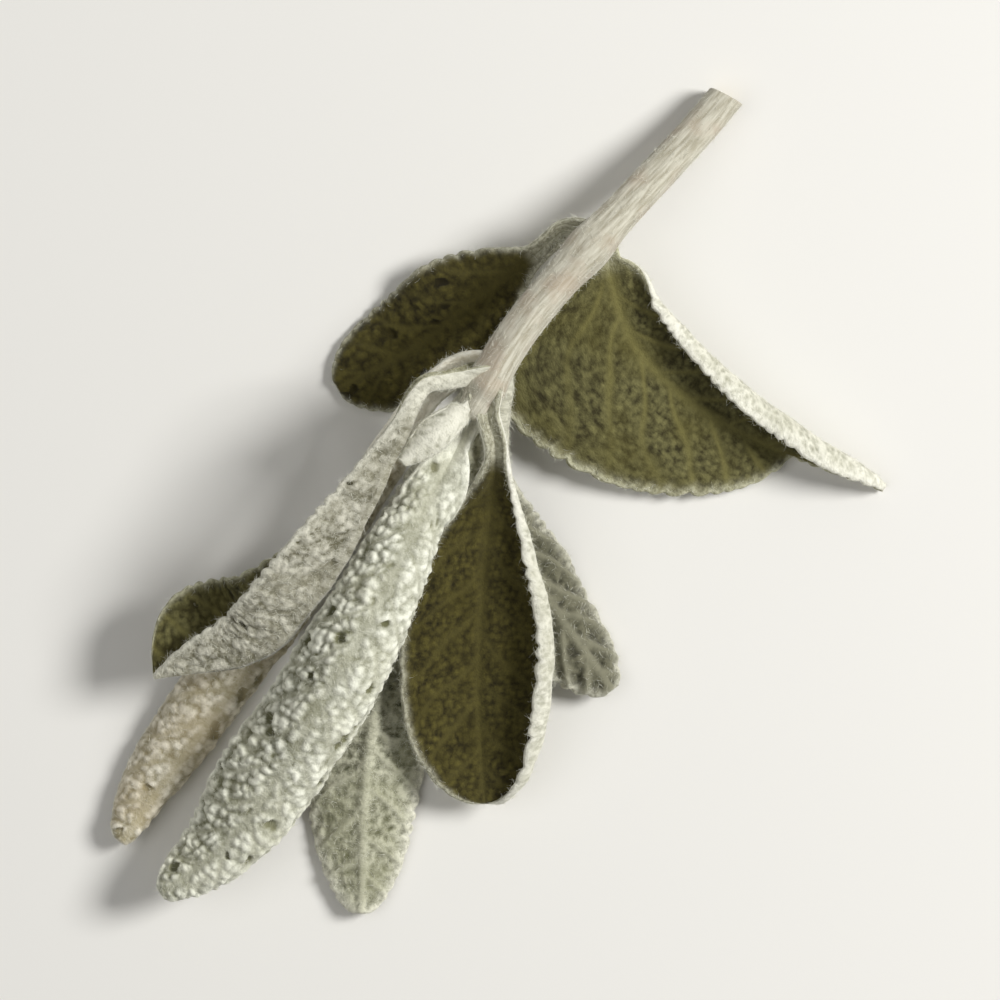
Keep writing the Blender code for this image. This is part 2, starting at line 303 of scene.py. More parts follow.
def reliefTree():
    # embosses the leaf: pebbles between its veins and a wider puckering, stored as height and tone too.
    # Above 0, "Back Share" lets the back's cells sink between raised veins. Below 0, they bulge out.
    rule = pebbleRule
    tree, given = newTree("leafRelief", {
        "Cell Size": "Float", "Cell Height": "Float", "Pit Share": "Float", "Back Share": "Float",
        "Pucker": "Float", "Seed": "Float", "Skin": "Material", "Felt": "Material"})
    read = {key: addNode(tree, "GeometryNodeInputNamedAttribute", {"Name": key}, data_type=kind)
            for key, kind in (("flat", "FLOAT_VECTOR"), ("bend", "FLOAT_VECTOR"), ("vein", "FLOAT"),
                              ("calm", "FLOAT"), ("side", "FLOAT"))}
    seed = addNode(tree, "ShaderNodeCombineXYZ", {"X": given["Seed"], "Y": given["Seed"]})
    onSheet = addNode(tree, "ShaderNodeVectorMath", {
        0: read["flat"], 1: (1.0, 1.0, 0.0)}, operation="MULTIPLY")
    moved = addNode(tree, "ShaderNodeVectorMath", {
        0: seed, 1: (37.0, 11.0, 0.0), 2: onSheet}, operation="MULTIPLY_ADD")
    wander, crumbs, pucker = [
        addNode(tree, "ShaderNodeTexNoise", {"Vector": moved, "Scale": rule[perMm], "Detail": 1.0})
        for perMm in ("wandersPerMm", "crumbsPerMm", "puckersPerMm")]
    bent = addNode(tree, "ShaderNodeVectorMath", {
        0: wander.outputs["Color"], 1: (rule["wander"], rule["wander"], 0.0), 2: moved},
        operation="MULTIPLY_ADD")
    cellsPerMm = addNode(tree, "ShaderNodeMath", {0: 1.0, 1: given["Cell Size"]}, operation="DIVIDE")
    cells = addNode(tree, "ShaderNodeTexVoronoi", {
        "Vector": bent, "Scale": cellsPerMm, "Randomness": rule["randomness"]},
        feature="F1", voronoi_dimensions="2D")
    tone = addNode(tree, "ShaderNodeSeparateXYZ", {"Vector": cells.outputs["Color"]})
    # a round top over each cell's middle, down to nothing at its corners
    reach = addNode(tree, "ShaderNodeMath", {
        0: cells.outputs["Distance"], 1: rule["reach"]}, operation="DIVIDE")
    fallen = addNode(tree, "ShaderNodeMath", {0: reach, 1: rule["steepness"]}, operation="POWER")
    domed = addNode(tree, "ShaderNodeMath", {0: 1.0, 1: fallen}, operation="SUBTRACT", use_clamp=True)
    size = addNode(tree, "ShaderNodeMapRange", {"Value": tone.outputs["X"], "To Min": rule["smallest"]})
    whole = addNode(tree, "ShaderNodeMath", {0: domed, 1: size}, operation="MULTIPLY")
    crumb, wide = [addNode(tree, "ShaderNodeMath", {0: noise, 1: 0.5}, operation="SUBTRACT")
                   for noise in (crumbs, pucker)]
    rough = addNode(tree, "ShaderNodeMath", {
        0: crumb, 1: rule["crumb"], 2: whole}, operation="MULTIPLY_ADD", use_clamp=True)
    # here and there a cell is sunken to a pit
    isPit = addNode(tree, "ShaderNodeMath", {
        0: tone.outputs["Y"], 1: given["Pit Share"]}, operation="LESS_THAN")
    sunken = addNode(tree, "ShaderNodeMath", {0: domed, 1: rule["pit"]}, operation="MULTIPLY")
    pebble = addNode(tree, "ShaderNodeMix", {"Factor": isPit, "A": rough, "B": sunken}, data_type="FLOAT")
    between = addNode(tree, "ShaderNodeMath", {0: 1.0, 1: read["vein"]}, operation="SUBTRACT")
    height = addNode(tree, "ShaderNodeMath", {0: pebble, 1: between}, operation="MULTIPLY")
    balanced = addNode(tree, "ShaderNodeMath", {0: height, 1: 0.5}, operation="SUBTRACT")
    onBack = addNode(tree, "ShaderNodeMapRange", {
        "Value": read["side"], "From Min": -1.0, "From Max": 1.0, "To Min": given["Back Share"],
        "To Max": 1.0})
    amount = addNode(tree, "ShaderNodeMath", {0: balanced, 1: given["Cell Height"]}, operation="MULTIPLY")
    shared = addNode(tree, "ShaderNodeMath", {0: amount, 1: onBack}, operation="MULTIPLY")
    summed = addNode(tree, "ShaderNodeMath", {
        0: wide, 1: given["Pucker"], 2: shared}, operation="MULTIPLY_ADD")
    calmed = addNode(tree, "ShaderNodeMath", {0: summed, 1: read["calm"]}, operation="MULTIPLY")
    inMetres = addNode(tree, "ShaderNodeMath", {0: calmed, 1: mm}, operation="MULTIPLY")
    offset = addNode(tree, "ShaderNodeVectorMath", {0: read["bend"], "Scale": inMetres}, operation="SCALE")
    lifted = addNode(tree, "GeometryNodeSetPosition", {"Geometry": given["Geometry"], "Offset": offset})
    isBack = addNode(tree, "FunctionNodeCompare", {
        "A": read["side"], "B": 0.0}, data_type="FLOAT", operation="LESS_THAN")
    hasNet = addNode(tree, "FunctionNodeCompare", {
        "A": given["Back Share"], "B": 0.0}, data_type="FLOAT", operation="GREATER_THAN")
    isNet = addNode(tree, "FunctionNodeBooleanMath", {0: isBack, 1: hasNet}, operation="AND")
    turned = addNode(tree, "ShaderNodeMath", {0: 1.0, 1: height}, operation="SUBTRACT")
    shown = addNode(tree, "GeometryNodeSwitch", {
        "Switch": isNet, "False": height, "True": turned}, input_type="FLOAT")
    # where the relief is calm, the surface shows as evenly downy
    visible = addNode(tree, "ShaderNodeMath", {0: onBack}, operation="ABSOLUTE")
    shows = addNode(tree, "ShaderNodeMath", {0: visible, 1: read["calm"]}, operation="MULTIPLY")
    even = addNode(tree, "ShaderNodeMix", {
        "Factor": shows, "A": rule["calmHeight"], "B": shown}, data_type="FLOAT")
    stored = lifted
    for key, value in (("height", even), ("tone", tone.outputs["X"])):
        stored = addNode(tree, "GeometryNodeStoreNamedAttribute", {
            "Geometry": stored, "Name": key, "Value": value}, data_type="FLOAT", domain="POINT")
    plain = addNode(tree, "GeometryNodeRealizeInstances", {"Geometry": stored})
    skinned = addNode(tree, "GeometryNodeSetMaterial", {"Geometry": plain, "Material": given["Skin"]})
    felted = addNode(tree, "GeometryNodeSetMaterial", {
        "Geometry": skinned, "Selection": isBack, "Material": given["Felt"]})
    addNode(tree, "NodeGroupOutput", {"Geometry": felted})
    return tree


hairRule = {
    "sides": 3, "segments": 2,
    "bend": 2.0,                             # 1 is straight
    "tilt": ((0.6, -0.4, 0.0), (1.35, 0.4, 0.0)), "size": (0.5, 1.2),  # least and most
    "spinSeed": 7.0,                         # added to the seed, so that spin and tilt differ
}


def downTree():
    # short bent hairs scattered over a surface, as thick as its "down" attribute says
    tree, given = newTree("downHairs", {
        "Density": "Float", "Length": "Float", "Thickness": "Float", "Seed": "Int", "Material": "Material"})
    amount = addNode(tree, "GeometryNodeInputNamedAttribute", {"Name": "down"}, data_type="FLOAT")
    density = addNode(tree, "ShaderNodeMath", {0: given["Density"], 1: amount}, operation="MULTIPLY")
    roots = addNode(tree, "GeometryNodeDistributePointsOnFaces", {
        "Mesh": given["Geometry"], "Density": density, "Seed": given["Seed"]}, distribute_method="RANDOM")
    hair = addNode(tree, "GeometryNodeMeshCone", {
        "Vertices": hairRule["sides"], "Side Segments": hairRule["segments"], "Radius Top": 0.0,
        "Radius Bottom": given["Thickness"], "Depth": given["Length"]}, fill_type="NGON")
    spot = addNode(tree, "GeometryNodeInputPosition")
    apart = addNode(tree, "ShaderNodeSeparateXYZ", {"Vector": spot})
    reach = addNode(tree, "ShaderNodeMath", {
        0: apart.outputs["Z"], 1: given["Length"]}, operation="DIVIDE")
    bow = addNode(tree, "ShaderNodeMath", {0: reach, 1: hairRule["bend"]}, operation="POWER")
    lean = addNode(tree, "ShaderNodeMath", {0: bow, 1: given["Length"]}, operation="MULTIPLY")
    aside = addNode(tree, "ShaderNodeCombineXYZ", {"X": lean})
    bent = addNode(tree, "GeometryNodeSetPosition", {"Geometry": hair.outputs["Mesh"], "Offset": aside})
    spinSeed = addNode(tree, "ShaderNodeMath", {
        0: given["Seed"], 1: hairRule["spinSeed"]}, operation="ADD")
    fullTurn = ((0.0, 0.0, 0.0), (0.0, 0.0, 2 * math.pi))
    turned = roots.outputs["Rotation"]
    for (least, most), seed in ((fullTurn, spinSeed), (hairRule["tilt"], given["Seed"])):
        angles = addNode(tree, "FunctionNodeRandomValue", {
            "Min": least, "Max": most, "Seed": seed}, data_type="FLOAT_VECTOR")
        turn = addNode(tree, "FunctionNodeEulerToRotation", {"Euler": angles})
        turned = addNode(tree, "FunctionNodeRotateRotation", {
            "Rotation": turned, "Rotate By": turn}, rotation_space="LOCAL")
    shortest, longest = hairRule["size"]
    size = addNode(tree, "FunctionNodeRandomValue", {
        "Min": shortest, "Max": longest, "Seed": given["Seed"]}, data_type="FLOAT")
    planted = addNode(tree, "GeometryNodeInstanceOnPoints", {
        "Points": roots.outputs["Points"], "Instance": bent, "Rotation": turned, "Scale": size})
    plain = addNode(tree, "GeometryNodeRealizeInstances", {"Geometry": planted})
    coated = addNode(tree, "GeometryNodeSetMaterial", {"Geometry": plain, "Material": given["Material"]})
    addNode(tree, "NodeGroupOutput", {"Geometry": coated})
    return tree


relief = reliefTree()
downHairs = downTree()


def addDown(piece, hairs, seed):
    # the piece's hairs, as a piece of their own
    made = runTree(piece, downHairs, {
        "Density": hairs["perSquareMm"] / mm ** 2, "Length": hairs["length"] * mm,
        "Thickness": hairs["thickness"] * mm, "Seed": seed, "Material": down})
    coat = newPiece(piece.name + "_down", made)
    made.name = coat.name
    restOnFloor(made)
    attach(coat, "root")
    print(f"{coat.name}: {len(made.polygons)} faces")


leafRule = {
    "wall": 0.3,              # thickness of the blade
    "rounding": 0.2,          # how far in from the margin the wall thins
    "rimWidth": 0.25,         # of the pale edge
    "spacing": 0.1,           # between the points of the surface
    "tipCrowding": 0.25, "marginCrowding": 0.3,  # how much closer they come there
    "stalkHalfWidth": 0.6,
    "stalkFold": 35.0,        # how far each side of the grooved stalk stands up
    "openingStart": 0.6,      # share of the stalk where its groove begins to open into the blade
    "openingReach": 0.15,     # share of the length that the groove takes to open
    "fullness": (1.25, 1.25),  # more draws the blade in where it meets the stalk
    "taper": (0.5, 0.5),      # more draws it in towards the tip
    "end": (1.0, 1.0),        # share of the blade where the half runs out
    "tipHalfWidth": 0.1,
    "footRows": 14, "footShare": 0.05, "footPull": 0.35,  # where the stalk bends back into the stem
    "clasp": 0.6, "claspStart": 0.01,  # how much wider the foot is, where it clasps the stem
    "wavesAlong": 1.3,        # in the fold, besides twice and three times as many smaller ones
    "toothPitch": 0.85,       # of the scalloped margin
    "veinPitch": 2.1,         # between side veins, along the midrib
    "veinSlope": 42.0,        # of the side veins, from the midrib
    "veinWidth": 0.13,
    "pebbled": (1.0, 1.0),    # how much relief each half shows
    "pucker": 0.25,
    "pitShare": 0.03,         # of the cells
    "hairs": {"perSquareMm": 24, "length": 0.28, "thickness": 0.009},
}


def halfWidth(leaf, side, shares):
    # half the leaf's width laid flat, without its scallops: a stalk, then the blade
    blade = np.clip((shares - leaf["stalk"]) / (1 - leaf["stalk"]), 0, 1)
    widest, end = leaf["widest"][side], leaf["end"][side]
    rising = np.sin(math.pi / 2 * np.minimum(blade / widest, 1)) ** leaf["fullness"][side]
    past = np.clip((blade - widest) / (end - widest), 0, 1)
    falling = np.maximum(1 - past ** leaf["blunt"][side], 0) ** leaf["taper"][side]
    full, stalk, tip = leaf["halfWidth"][side], leaf["stalkHalfWidth"], leaf["tipHalfWidth"]
    return np.where(blade < widest, stalk + (full - stalk) * rising, tip + (full - tip) * falling)


scallopRule = {
    "shift": 0.9, "shiftPerMm": 1.7,       # unevenness of the teeth's places, in radians, and its pace
    "shallow": 0.35, "shallowPerMm": 1.3,  # of their depth, as a share
    "roundness": 0.8,
    "start": (0.04, 0.14), "end": 0.95,    # shares of the length: past the stalk, and where they run out
}


def scallops(leaf, side, shares, width, length):
    # how much the margin is cut back: round teeth along it, a little uneven
    rule, seed, stalk = scallopRule, leaf["seed"], leaf["stalk"]
    steps = np.hypot(np.diff(shares) * length, np.diff(width))
    run = np.concatenate([[0], np.cumsum(steps)])
    shift = rule["shift"] * np.sin(rule["shiftPerMm"] * run + seed)
    turn = math.pi * run / leaf["toothPitch"] + side + shift
    uneven = rule["shallow"] * np.sin(rule["shallowPerMm"] * run + 5 * side + seed)
    depth = leaf["teeth"][side] * (1 - rule["shallow"] + uneven)
    onBlade = (ramp(shares, stalk + rule["start"][0], stalk + rule["start"][1])
               * (1 - ramp(shares, rule["end"], 1.0)))
    return depth * (1 - np.abs(np.sin(turn)) ** rule["roundness"]) * onBlade


def bendHalf(leaf, side, shares, width, reach, waves):
    # out and up from the midrib, in each row's own plane, of points at these shares of the half's width
    steps = 160
    middle = (np.arange(steps) + 0.5) / steps
    opening = np.clip((shares - leaf["stalk"] * leaf["openingStart"]) / leaf["openingReach"], 0, 1)
    opened = readAlong(leaf["fold"][side], shares) + waves
    fold = leaf["stalkFold"] + (opened - leaf["stalkFold"]) * opening
    flat = readAlong(leaf["flat"][side], shares)[:, None]
    curl = (readAlong(leaf["curl"][side], shares) * opening)[:, None]
    turn = np.radians(fold[:, None] + curl * np.clip((middle - flat) / (1 - flat), 0, None))
    marks = np.arange(steps + 1) / steps
    halves = []
    for component in (np.cos(turn), np.sin(turn)):
        summed = np.pad(np.cumsum(component, axis=1), ((0, 0), (1, 0))) / steps
        rows = [np.interp(r, marks, s) for r, s in zip(reach, summed)]
        halves.append(np.array(rows) * width[:, None])
    return halves


def crowded(shares, amount):
    # shares that come closer together towards 1
    return (1 - amount) * shares + amount * np.sin(math.pi / 2 * shares)


def leafPoints(leaf):
    # the leaf's middle surface as rows of points, and what the walls and the patterns need to know of each
    length = smoothRoute(leaf["midrib"], np.array([1.0]))[1]
    rows = int(length / leaf["spacing"])
    halfColumns = int(max(leaf["halfWidth"]) / leaf["spacing"])
    shares = crowded(np.linspace(0, 1, rows + 1), leaf["tipCrowding"])
    route = smoothRoute(leaf["midrib"], shares)[0]
    # the stalk's foot bends back into the stem
    foot = np.linspace(0, 1, leaf["footRows"], endpoint=False)[:, None]
    start, grows = route[0], np.array(leaf["grows"])
    handle = start + unit(start - route[3]) * leaf["footPull"] * np.linalg.norm(start - grows)
    grown = (1 - foot) ** 2 * grows + 2 * foot * (1 - foot) * handle + foot ** 2 * start
    route = np.vstack([grown, route])
    shares = np.concatenate([(foot[:, 0] - 1) * leaf["footShare"], shares])

    along = unit(np.gradient(route, axis=0))
    right = unit(np.cross(along, up))
    roll = np.radians(readAlong(leaf["roll"], shares))[:, None]
    turned = right * np.cos(roll) + np.cross(along, right) * np.sin(roll)
    top = np.cross(turned, along)

    rng = np.random.default_rng(leaf["seed"])
    across = crowded(np.linspace(0, 1, halfColumns + 1), leaf["marginCrowding"])
    sides = []
    for side, sign in ((0, -1), (1, 1)):
        clasping = 1 + leaf["clasp"] * ramp(-shares, leaf["claspStart"], leaf["footShare"])
        width = halfWidth(leaf, side, shares) * clasping
        cut = width - scallops(leaf, side, shares, width, length)
        reach = across[None, :] * (cut / width)[:, None]
        waves = sum(leaf["waves"] / k * np.sin(
            2 * math.pi * (k * leaf["wavesAlong"] * shares + rng.random())) for k in (1, 2, 3))
        out, high = bendHalf(leaf, side, shares, width, reach, waves)
        sideways = turned[:, None, :] * (sign * out)[..., None]
        spots = route[:, None, :] + sideways + top[:, None, :] * high[..., None]
        away = reach * width[:, None]
        sides.append((spots, sign * away, cut[:, None] - away))
    spots, aside, inside = [np.concatenate([leftHalf[:, :0:-1], rightHalf], axis=1)
                            for leftHalf, rightHalf in zip(*sides)]
    lengthwise = np.repeat(shares[:, None] * length, spots.shape[1], axis=1)
    bend = unit(np.cross(np.gradient(spots, axis=1), np.gradient(spots, axis=0)))
    return {"spots": spots, "aside": aside, "inside": inside, "lengthwise": lengthwise, "bend": bend,
            "shares": shares, "length": length}


veinRule = {
    "wander": (0.16, 0.12), "wanderPerMm": (1.7, 2.6),  # along the leaf, and away from the midrib
    "bow": 0.03,                      # how the side veins bend towards the tip, for each mm
    "start": 0.1,                     # share of the length in which they appear past the stalk
    "fade": 0.55, "fadeOver": (1.5, 4.0),  # how much fainter they get, away from the midrib
    "midrib": 0.36, "midribThins": 0.2,
}


def veins(leaf, grid):
    # 1 on the midrib and the side veins, 0 between them
    rule, pitch, stalk = veinRule, leaf["veinPitch"], leaf["stalk"]
    away = np.abs(grid["aside"])
    share = grid["shares"][:, None]
    slope = math.radians(leaf["veinSlope"])
    wander = sum(size * np.sin(perMm * run + leaf["seed"]) for size, perMm, run in zip(
        rule["wander"], rule["wanderPerMm"], (grid["lengthwise"], away)))
    start = grid["lengthwise"] - away / math.tan(slope) * (1 - rule["bow"] * away) + wander
    shifted = start / pitch + 0.5 * (grid["aside"] > 0)
    distance = np.abs(shifted - np.round(shifted)) * pitch * math.sin(slope)
    fade = 1 - ramp(away, *rule["fadeOver"]) * rule["fade"]
    sideVein = hump(distance, leaf["veinWidth"]) * fade * ramp(share, stalk, stalk + rule["start"])
    midrib = hump(away, rule["midrib"] - rule["midribThins"] * np.clip(share, 0, 1))
    return np.maximum(sideVein, midrib)


ribRule = {
    "tipHeight": 0.1, "lowering": 1.5,  # of the ridge under the midrib, which gets lower towards the tip
    "width": 0.5, "thins": 0.3,         # of that ridge
    "ends": 0.5,                        # before the margin, where the side ribs run out
    "groove": 0.175, "grooveStart": 2.0,  # over the midrib, as a share of the ridge, and mm from the tip
}
coatRule = {
    "stalk": (-0.03, 0.05), "stalkWidth": 0.75,  # where the stalk's pale coat ends, and half its width
    "stalkRelief": 0.35, "reliefStart": (0.6, 0.12),  # of the stalk, and how the blade's full relief begins
    "halves": (-1, 1),                  # between these, one half's relief passes into the other's
    "calmRim": 0.3,                     # within this of the margin, the relief dies away
    "rimDown": 1.2, "rimDownWidth": 0.3,
}


def leafMesh(name, leaf):
    # both skins of the leaf, meeting in a rounded margin
    rule, coat, stalk = ribRule, coatRule, leaf["stalk"]
    grid = leafPoints(leaf)
    spots, bend, inside = grid["spots"], grid["bend"], grid["inside"]
    share = np.clip(grid["shares"], 0, 1)[:, None]
    vein = veins(leaf, grid)
    away = np.abs(grid["aside"])
    fromTip = (1 - share) * grid["length"]
    wall = leaf["wall"]
    for depth in (inside, fromTip):
        wall = wall * np.sqrt(np.clip(1 - (1 - np.clip(depth / leaf["rounding"], 0, 1)) ** 2, 0, 1))
    ribHeight = leaf["rib"] * (1 - share) ** rule["lowering"] + rule["tipHeight"]
    ribWidth = rule["width"] - rule["thins"] * share
    rib = ribHeight * hump(away, ribWidth) * np.clip(inside / leaf["rounding"], 0, 1)
    sideRib = leaf["ribs"] * vein * np.clip(inside / rule["ends"], 0, 1) * (1 - hump(away, rule["width"]))
    groove = rule["groove"] * (rib * ramp(fromTip, 0, rule["grooveStart"]))
    upper = spots + bend * (wall / 2 - groove)[..., None]
    back = spots - bend * (wall / 2 + rib + sideRib)[..., None]

    # the points of the rim are shared by both skins
    rows, columns = away.shape
    inner = np.zeros((rows, columns), bool)
    inner[1:-1, 1:-1] = True
    upper[~inner] = spots[~inner]
    index = np.arange(rows * columns).reshape(rows, columns)
    backIndex = index.copy()
    backIndex[inner] = rows * columns + np.arange(inner.sum())
    quads = []
    for which, order in ((index, 1), (backIndex, -1)):
        corners = [which[:-1, :-1], which[:-1, 1:], which[1:, 1:], which[1:, :-1]]
        quads.append(np.stack([corner.ravel() for corner in corners[::order]], axis=1))

    def both(values):
        return np.concatenate([values.reshape(rows * columns, *values.shape[2:]), values[inner]])

    side = np.concatenate([np.where(inner, 1.0, 0.0).ravel(), np.full(inner.sum(), -1.0)])
    stalked = 1 - ramp(share, stalk + coat["stalk"][0], stalk + coat["stalk"][1])
    edge = np.maximum(hump(inside, leaf["rimWidth"]), stalked * hump(away, coat["stalkWidth"]))
    left, right = leaf["pebbled"]
    pebbled = left + (right - left) * ramp(grid["aside"], *coat["halves"])
    begun = ramp(share, stalk * coat["reliefStart"][0], stalk + coat["reliefStart"][1])
    calm = (pebbled * (coat["stalkRelief"] + (1 - coat["stalkRelief"]) * begun)
            * ramp(inside, 0.0, coat["calmRim"]))
    flat = both(np.stack([grid["aside"], grid["lengthwise"], wall], axis=-1))
    flat[:, 2] *= side
    downy = (np.where(side > 0, leaf["down"][0], leaf["down"][1])
             + coat["rimDown"] * both(hump(inside, coat["rimDownWidth"])))
    points = np.concatenate([upper.reshape(-1, 3), back[inner]])
    return meshFrom(name, points, np.concatenate(quads).tolist(), {
        "flat": flat, "bend": both(bend), "vein": both(vein), "edge": both(edge),
        "calm": both(calm), "side": side, "down": downy})


def makeLeaf(name, node, own):
    leaf = {**leafRule, **own}
    piece = newPiece(name, leafMesh(name, leaf))
    formed = runTree(piece, relief, {
        "Cell Size": leaf["cells"], "Cell Height": leaf["cellHeight"], "Pit Share": leaf["pitShare"],
        "Back Share": leaf["backShare"], "Pucker": leaf["pucker"], "Seed": float(leaf["seed"]),
        "Skin": skins[leaf["skin"]], "Felt": felts[leaf["felt"]]})
    piece.data = formed
    formed.name = name
    restOnFloor(formed)
    formed.shade_smooth()
    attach(piece, "root")
    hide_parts(node)
    compare(piece, node)
    addDown(piece, leaf["hairs"], leaf["seed"])


# Pairs of values are for the left and the right half, seen on the upper side from the foot, or for the
# upper side and the back where it says down. roll, fold, flat and curl may be rows of values at even steps
# from foot to tip. A backShare below 0 gives the back pebbles of its own in place of a net of veins.

# The longest leaf, over the others: its upper side is densely pebbled and frosted, one margin rolls under.
leafFront = {
    "midrib": [(-0.25, -0.8, 5.15), (-1.2, -2.7, 5.4), (-3.0, -6.2, 6.2), (-4.8, -9.8, 6.5),
               (-6.9, -13.4, 6.1), (-9.0, -17.0, 5.1), (-11.6, -20.3, 3.8), (-14.5, -22.5, 2.8)],
    "grows": (0.2, 0.3, 5.9), "stalk": 0.05, "fullness": (0.8, 0.75), "halfWidth": (3.3, 3.35),
    "widest": (0.42, 0.68), "blunt": (3.2, 1.2), "roll": (0, 12), "fold": (-14, -6), "flat": (0.2, 0.1),
    "curl": (-115, (-50, -52, -62, -50, -28, -35)), "waves": 4.0, "teeth": (0.12, 0.3),
    "cells": 0.46, "cellHeight": 0.2, "pitShare": 0.04,
    "backShare": 0.5, "pebbled": (0.7, 1.0), "rib": 0.4, "ribs": 0.08, "down": (0.5, 0.7), "seed": 1,
    "spacing": 0.085, "skin": "driedSkinDowny", "felt": "driedFeltPale", "slot": "leaf_downy_pale",
}
makeLeaf("leaf_front_blade", "leaf_front", leafFront)

# Folded along its midrib, felted back outwards, the olive inner side showing where it opens at the tip.
leafLeft = {
    "midrib": [(-1.15, 1.15, 6.55), (-2.5, 0.7, 7.0), (-3.5, -1.6, 7.1), (-4.95, -4.9, 6.6),
               (-7.1, -8.6, 5.5), (-9.9, -11.6, 4.1), (-14.8, -12.5, 3.2)],
    "grows": (0.5, 1.3, 6.0), "stalk": 0.12, "fullness": (1.4, 2.4), "halfWidth": (3.0, 4.2),
    "widest": (0.56, 0.8), "blunt": (2.6, 3.0), "taper": (0.9, 0.5),
    "roll": (80, 70, 45), "fold": ((84, 84, 100), (45, 45, 40)), "flat": (0.3, 0.3), "curl": (15, 5),
    "waves": 3.0, "teeth": (0.2, 0.2), "cells": 0.42, "cellHeight": 0.14, "pitShare": 0.04,
    "backShare": -0.6, "pucker": 0.35, "rib": 0.25, "ribs": 0.0, "down": (0.0, 0.8), "seed": 2,
    "skin": "driedSkinOlive", "felt": "driedFeltSmooth", "slot": "leaf_felted_back",
}
makeLeaf("leaf_left_blade", "leaf_left", leafLeft)

# Boat-shaped: olive upper side, with one margin rolled in so that its pale back makes a bright rim.
leafRight = {
    "midrib": [(0.64, -0.74, 6.2), (0.97, -2.2, 5.55), (0.78, -4.4, 4.2), (0.35, -8.1, 3.0),
               (0.15, -13.5, 1.9), (0.45, -18.4, 1.5)],
    "grows": (0.45, 0.5, 6.15), "stalk": 0.1, "halfWidth": (4.7, 3.8), "widest": (0.58, 0.58),
    "blunt": (2.4, 2.4), "roll": (0, 0), "fold": (10, 6), "flat": (0.6, 0.2), "curl": (185, 15),
    "waves": 2.0, "teeth": (0.22, 0.12), "toothPitch": 1.05, "cells": 0.34, "cellHeight": 0.045,
    "pitShare": 0.0, "backShare": 0.8, "rib": 0.4, "ribs": 0.0, "down": (0.0, 0.8), "seed": 3,
    "skin": "driedSkinDark", "felt": "driedFeltPale", "slot": "leaf_olive",
}
makeLeaf("leaf_right_blade", "leaf_right", leafRight)

# Back up: a felt of raised veins, whitish along its scalloped right margin.
leafBack = {
    "midrib": [(0.2, 1.5, 4.1), (-0.5, -0.6, 3.4), (-1.5, -4.0, 2.6), (-3.3, -9.0, 1.85),
               (-4.9, -15.5, 1.25), (-5.3, -23.5, 0.77)],
    "grows": (0.7, 1.7, 5.6), "stalk": 0.05, "fullness": (0.8, 0.8), "halfWidth": (3.2, 3.0),
    "widest": (0.55, 0.55), "blunt": (2.4, 2.4), "roll": (180, 180), "fold": (8, 8), "flat": (0.2, 0.2),
    "curl": (25, 25), "waves": 3.0, "teeth": (0.25, 0.25), "cells": 0.46, "cellHeight": 0.13,
    "backShare": 0.7, "rimWidth": 0.5, "rib": 0.35, "ribs": 0.1, "down": (0.1, 0.6), "seed": 4,
    "skin": "driedSkinOlive", "felt": "driedFeltGreen", "slot": "leaf_veined_back",
}
makeLeaf("leaf_back_blade", "leaf_back", leafBack)

# A small leaf, back up, ribbed by strong, steep side veins. Its felt is painted darker, as painted shade
# from the leaves over it.
leafSmall = {
    "midrib": [(1.3, 0.8, 4.55), (1.1, -1.2, 3.95), (1.3, -4.4, 2.95), (3.05, -8.6, 1.8),
               (6.3, -13.2, 1.0)],
    "grows": (0.9, 1.5, 5.6), "stalk": 0.26, "halfWidth": (2.4, 2.3), "widest": (0.5, 0.5),
    "blunt": (2.5, 2.5), "roll": (170, 160), "fold": (12, 12), "flat": (0.2, 0.2), "curl": (20, 20),
    "waves": 3.0, "teeth": (0.25, 0.25), "veinPitch": 1.7, "veinSlope": 30.0, "veinWidth": 0.17,
    "cells": 0.42, "cellHeight": 0.16, "backShare": 0.9, "rimWidth": 0.45, "rib": 0.15, "ribs": 0.22,
    "down": (0.1, 0.6), "seed": 5, "skin": "driedSkinOlive", "felt": "driedFeltPaintedShade",
    "slot": "leaf_veined_back",
}
makeLeaf("leaf_small_blade", "leaf_small", leafSmall)

# An older, yellow brown leaf, both margins rolled under, the hidden one tightly.
leafTan = {
    "midrib": [(-1.1, 1.4, 4.8), (-2.5, 0.1, 4.55), (-4.8, -3.8, 3.8), (-8.5, -9.5, 2.8),
               (-12.3, -14.6, 1.9), (-16.4, -20.2, 1.15)],
    "grows": (0.6, 1.6, 5.7), "stalk": 0.12, "stalkHalfWidth": 0.85, "clasp": 0.15,
    "halfWidth": (2.2, 2.8), "widest": (0.66, 0.66), "blunt": (2.6, 2.6), "roll": (0, 6),
    "fold": ((-5, -5, -20, -25, -25, -25), -5), "flat": (0.1, 0.3),
    "curl": ((-60, -60, -120, -150, -150, -150), -70), "waves": 3.0, "teeth": (0.15, 0.15), "cells": 0.42,
    "cellHeight": 0.09, "backShare": 0.8, "rib": 0.35, "ribs": 0.05, "down": (0.3, 0.6), "seed": 6,
    "skin": "driedSkinTan", "felt": "driedFeltPale", "slot": "leaf_tan",
}
makeLeaf("leaf_tan_blade", "leaf_tan", leafTan)

